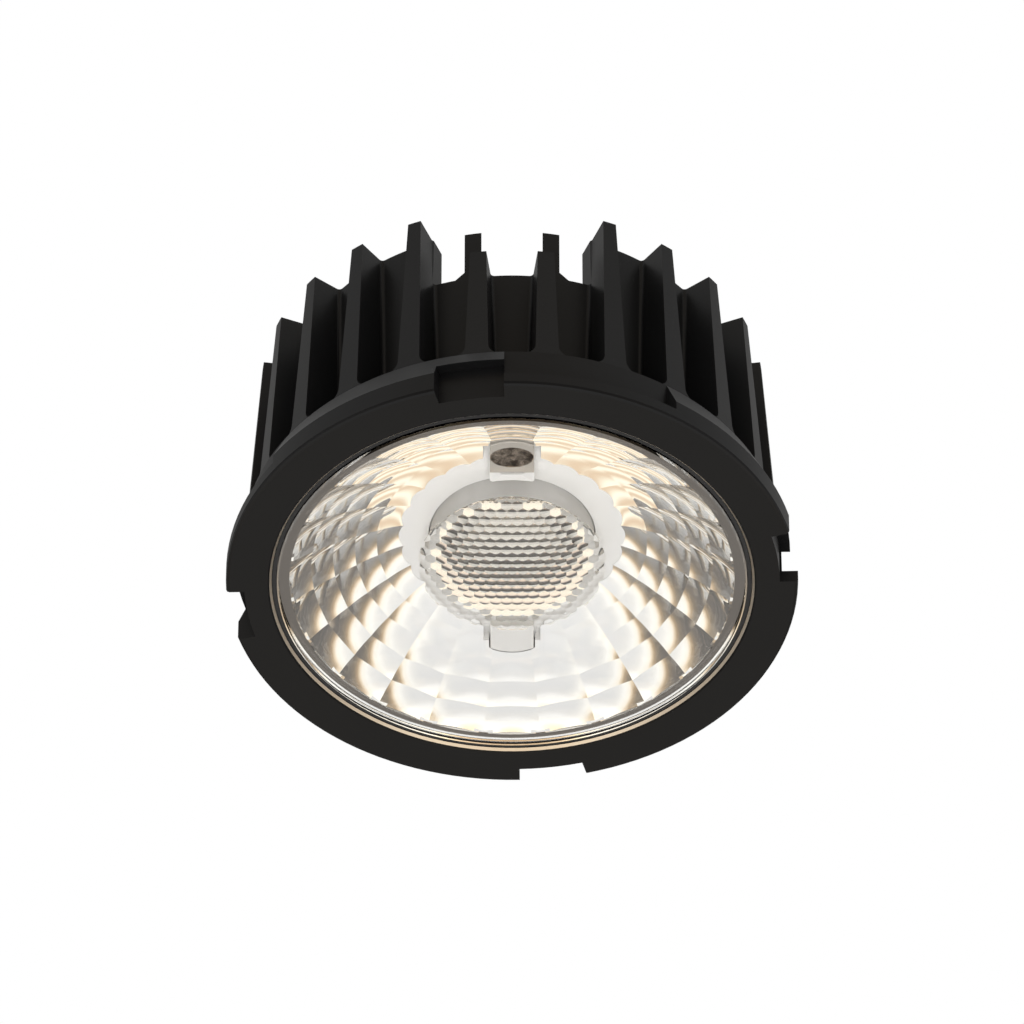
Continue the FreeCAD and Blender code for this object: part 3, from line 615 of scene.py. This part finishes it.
def reflector():
    """The dish with its scoops, cut from the same balls as the CAD node."""
    low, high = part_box("reflector")
    cover_back = low.z
    inner_z = high.z
    corners = dish_corners(inner_z, cover_back)
    centres = ball_centres(corners)
    back = flange_and_back(corners, cover_back, inner_z, high.x)
    pitch = 2 * math.pi / SCOOP_COLUMNS
    bm = bmesh.new()
    lines = []
    for column in range(SCOOP_COLUMNS):
        for step in range(SCOOP_STEPS_ROUND):
            angle = pitch * (step / SCOOP_STEPS_ROUND - 0.5)
            turn = pitch * column + angle
            cusps = cusp_radii(centres, corners, inner_z, angle)
            profile = scooped_front(centres, cusps, angle, cover_back + RIM_LAND / 2) + back
            lines.append([bm.verts.new((r * math.sin(turn), -r * math.cos(turn), z)) for r, z in profile])
    for first, second in zip(lines, lines[1:] + lines[:1]):
        for quad in zip(first, second, second[1:] + second[:1], first[1:] + first[:1]):
            bm.faces.new(quad)
    bmesh.ops.recalc_face_normals(bm, faces=bm.faces)
    dish = object_from(bm, "reflector_dish")
    for side in (-1, 1):
        cut(dish, head_room(side))
        cut(dish, [(-SLOT_WIDTH / 2, 0.0), (SLOT_WIDTH / 2, 0.0), (SLOT_WIDTH / 2, side * SLOT_END),
                   (-SLOT_WIDTH / 2, side * SLOT_END)])
    bm = bmesh.new()
    bm.from_mesh(dish.data)
    mark_sharp(bm, DISH_SHARP_ANGLE)
    bm.to_mesh(dish.data)
    bm.free()
    return stand_for(dish, "reflector")


def head_room(side):
    """Outline of the room round a pin's head: straight sides and a curved outer end."""
    half = HEAD_WIDTH / 2 + HEAD_CLEARANCE
    reach = HEAD_ARC + HEAD_CLEARANCE
    middle = HEAD_PLACE + HEAD_WIDTH / 2 - HEAD_ARC
    swing = math.asin(half / reach)
    outline = [(-half, side * (HEAD_PLACE - half)), (half, side * (HEAD_PLACE - half))]
    for step in range(HEAD_STEPS + 1):
        angle = swing * (1 - 2 * step / HEAD_STEPS)
        outline.append((reach * math.sin(angle), side * (middle + reach * math.cos(angle))))
    return outline


def cut(dish, outline):
    """Cuts an upright opening with a given outline through the dish."""
    bm = bmesh.new()
    base = [bm.verts.new((x, y, 0.0)) for x, y in outline]
    top = [bm.verts.new((x, y, CUT_HEIGHT)) for x, y in outline]
    bm.faces.new(base)
    bm.faces.new(top)
    for wall in zip(base, base[1:] + base[:1], top[1:] + top[:1], top):
        bm.faces.new(wall)
    bmesh.ops.recalc_face_normals(bm, faces=bm.faces)
    cutter = object_from(bm, "slot_cutter")
    modifier = dish.modifiers.new("slot", "BOOLEAN")
    modifier.operation = "DIFFERENCE"
    modifier.solver = "EXACT"
    modifier.object = cutter
    bpy.context.view_layer.update()
    evaluated = dish.evaluated_get(bpy.context.evaluated_depsgraph_get())
    cut_mesh = bpy.data.meshes.new_from_object(evaluated)
    dish.modifiers.clear()
    old = dish.data
    dish.data = cut_mesh
    bpy.data.meshes.remove(old)
    bpy.data.objects.remove(cutter)


# Lens


def lens_height(x, y, edge_z):
    """Height of the smooth front of the lens, before its micro-lenses."""
    bulge = (LENS_FRONT_RADIUS ** 2 + LENS_CROWN ** 2) / (2 * LENS_CROWN)
    return edge_z - LENS_CROWN + bulge - math.sqrt(max(bulge ** 2 - x * x - y * y, 0.0))


def honeycomb(bm, edge_z):
    """The front of the lens: rows of micro-lenses, welded where they meet."""
    row_pitch = CELL_PITCH * math.sqrt(3) / 2
    cell_radius = CELL_PITCH / math.sqrt(3)
    rows = int(LENS_FRONT_RADIUS / row_pitch) + 2
    for row in range(-rows, rows + 1):
        offset = CELL_PITCH / 2 if row % 2 else 0.0
        for column in range(-rows, rows + 1):
            centre = (column * CELL_PITCH + offset, row * row_pitch)
            if math.hypot(*centre) < LENS_FRONT_RADIUS + CELL_OVERHANG * cell_radius:
                cell(bm, centre, cell_radius, edge_z)
    bmesh.ops.remove_doubles(bm, verts=bm.verts, dist=WELD_DISTANCE)
    bmesh.ops.dissolve_degenerate(bm, edges=bm.edges, dist=SLIVER_LENGTH)


def lens():
    """Clear cap: a honeycomb of small bulges on a crowned front, a plain flank and a wide foot."""
    low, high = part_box("dome_lens")
    base_z = high.z - FACE_GAP
    base_radius = high.x
    edge_z = low.z + LENS_CROWN
    back_z = edge_z + LENS_PLATE
    bm = bmesh.new()
    honeycomb(bm, edge_z)
    rim = [edge for edge in bm.edges if edge.is_boundary]
    levels = [(LENS_FRONT_RADIUS, edge_z + LENS_EDGE_STEP), (base_radius, base_z - LENS_BASE_THICK),
              (base_radius, base_z), (LENS_CAVITY_RADIUS, base_z), (LENS_CAVITY_RADIUS, back_z)]
    flank = []
    for radius, level in levels:
        grown = bmesh.ops.extrude_edge_only(bm, edges=rim)["geom"]
        flank += [item for item in grown if isinstance(item, bmesh.types.BMFace)]
        rim = [item for item in grown if isinstance(item, bmesh.types.BMEdge) and item.is_boundary]
        for vert in {vert for edge in rim for vert in edge.verts}:
            flat = Vector((vert.co.x, vert.co.y)).normalized() * radius
            vert.co = (flat.x, flat.y, level)
    tip = bm.verts.new((0, 0, back_z))
    for edge in rim:
        bm.faces.new((*edge.verts, tip))
    for face in flank:
        face.material_index = 1
    bmesh.ops.recalc_face_normals(bm, faces=bm.faces)
    mark_sharp(bm, LENS_SHARP_ANGLE)
    return stand_for(object_from(bm, "lens_honeycomb"), "dome_lens")


def cell(bm, centre, cell_radius, edge_z):
    """One six-sided micro-lens as a small bulge. Its points that pass the lens's edge are drawn in."""
    apothem = cell_radius * math.sqrt(3) / 2

    def point(x, y):
        across = math.hypot(x, y)
        px, py = centre[0] + x, centre[1] + y
        reach = math.hypot(px, py)
        if reach > LENS_FRONT_RADIUS:
            px, py = px * LENS_FRONT_RADIUS / reach, py * LENS_FRONT_RADIUS / reach
        sink = CELL_SAG * (across / apothem) ** 2
        return bm.verts.new((px, py, lens_height(px, py, edge_z) + sink))

    turns = [math.radians(360 / CELL_SIDES * side) for side in range(CELL_SIDES)]
    corners = [(cell_radius * math.sin(turn), cell_radius * math.cos(turn)) for turn in turns]
    middle = point(0.0, 0.0)
    previous = None
    for ring in range(1, CELL_RINGS + 1):
        share = ring / CELL_RINGS
        verts = []
        for (x0, y0), (x1, y1) in zip(corners, corners[1:] + corners[:1]):
            for step in range(ring):
                t = step / ring
                verts.append(point(share * (x0 + (x1 - x0) * t), share * (y0 + (y1 - y0) * t)))
        if previous is None:
            for a, b in zip(verts, verts[1:] + verts[:1]):
                bm.faces.new((middle, a, b))
        else:
            stitch(bm, previous, verts, ring)
        previous = verts


def stitch(bm, inner, outer, ring):
    """Triangles between two rings of a six-sided cell."""
    for side in range(CELL_SIDES):
        for step in range(ring):
            a = outer[side * ring + step]
            b = outer[(side * ring + step + 1) % len(outer)]
            c = inner[(side * (ring - 1) + step) % len(inner)]
            bm.faces.new((a, b, c))
            if step < ring - 1:
                d = inner[(side * (ring - 1) + step + 1) % len(inner)]
                bm.faces.new((c, b, d))


# Stage, lamps and camera


def floor():
    """Pale round floor that fades into the white background. From below it can't be seen."""
    bm = bmesh.new()
    bmesh.ops.create_circle(bm, cap_ends=True, segments=FLOOR_SIDES, radius=FLOOR_RADIUS)
    piece = object_from(bm, "floor")
    piece.location.z = -FLOOR_DROP
    material, tree, shader = new_material("floor_pale")
    shader.inputs["Base Color"].default_value = FLOOR_COLOUR
    shader.inputs["Roughness"].default_value = 0.9
    shader.inputs["Specular IOR Level"].default_value = 0.0
    fade = mapped(tree, length(tree, piece_coords(tree)), FLOOR_FADE, (1.0, 0.0), "SMOOTHSTEP")
    path = tree.nodes.new("ShaderNodeLightPath")
    geometry = tree.nodes.new("ShaderNodeNewGeometry")
    front = maths(tree, "SUBTRACT", 1.0, geometry.outputs["Backfacing"])
    seen = maths(tree, "MULTIPLY", path.outputs["Is Camera Ray"], front)
    through = tree.nodes.new("ShaderNodeBsdfTransparent")
    mixed_surface(tree, maths(tree, "MULTIPLY", seen, fade), through.outputs["BSDF"], shader.outputs["BSDF"])
    piece.data.materials.append(material)


def world():
    """White behind the module, a soft even light on it, and a graded studio in its reflections.

    The studio is grey round the horizon and white from 43 degrees below it. Its floor is brightest
    on the cable side, and turns warm and dim beyond that.
    """
    data = bpy.data.worlds.new("studio")
    bpy.context.scene.world = data
    data.use_nodes = True
    tree = data.node_tree
    coords = tree.nodes.new("ShaderNodeTexCoord").outputs["Generated"]
    by_height = graded(tree, along(tree, coords, "Z"), (-1.0, 1.0), STUDIO_HEIGHT_GRADES)
    by_depth = graded(tree, along(tree, coords, "Y"), (-1.0, 1.0), STUDIO_DEPTH_GRADES)
    studio = mixed_colour(tree, 1.0, by_height, by_depth, "MULTIPLY")
    path = tree.nodes.new("ShaderNodeLightPath")
    plain = mixed_colour(tree, path.outputs["Is Camera Ray"], AMBIENT, WHITE)
    mirrored = maths(tree, "MAXIMUM", path.outputs["Is Glossy Ray"], path.outputs["Is Transmission Ray"])
    shown = mixed_colour(tree, mirrored, plain, studio_gap(tree, coords, studio))
    tree.links.new(shown, tree.nodes["Background"].inputs["Color"])


def studio_gap(tree, coords, studio):
    """The studio with its one dark gap, low behind the module, which the flat faces mirror."""
    near = tree.nodes.new("ShaderNodeVectorMath")
    near.operation = "DOT_PRODUCT"
    near.inputs[1].default_value = (0.0, math.cos(STUDIO_GAP_BELOW), -math.sin(STUDIO_GAP_BELOW))
    tree.links.new(coords, near.inputs[0])
    inside = mapped(tree, near.outputs["Value"], (math.cos(STUDIO_GAP_EDGE), math.cos(STUDIO_GAP)))
    return mixed_colour(tree, inside, studio, STUDIO_GAP_COLOUR)


def area_lamp(name, place, size, power):
    """A soft square lamp that points at the module. Mirrors and clear pieces don't show it."""
    data = bpy.data.lights.new(name, "AREA")
    data.size = size
    data.energy = power
    lamp = link(bpy.data.objects.new(name, data))
    lamp.location = place
    lamp.rotation_mode = "QUATERNION"
    lamp.rotation_quaternion = (Vector(LAMP_TARGET) - Vector(place)).to_track_quat("-Z", "Y")
    lamp.visible_glossy = False
    lamp.visible_transmission = False


def camera():
    """The photograph's viewpoint."""
    data = bpy.data.cameras.new("camera")
    data.lens = CAMERA_LENS_MM
    data.sensor_width = CAMERA_SENSOR_MM
    data.clip_start, data.clip_end = CAMERA_CLIP
    piece = link(bpy.data.objects.new("camera", data))
    piece.location = (0.0, -CAMERA_DISTANCE * math.cos(CAMERA_BELOW),
                      -CAMERA_DISTANCE * math.sin(CAMERA_BELOW))
    piece.rotation_euler = (math.pi / 2 + CAMERA_BELOW + CAMERA_PITCH, 0.0, 0.0)
    bpy.context.scene.camera = piece


finishes = finish_nodes()
dish = reflector()
dish.data.materials.clear()
dish.data.materials.append(finishes["reflector"])
cap = lens()
cap.data.materials.append(finishes["dome_lens"])
cap.data.materials.append(clear_flank())
floor()
world()
for lamp in LAMPS:
    area_lamp(*lamp)
camera()
bpy.context.scene.view_settings.view_transform = "Standard"

bpy.context.view_layer.update()
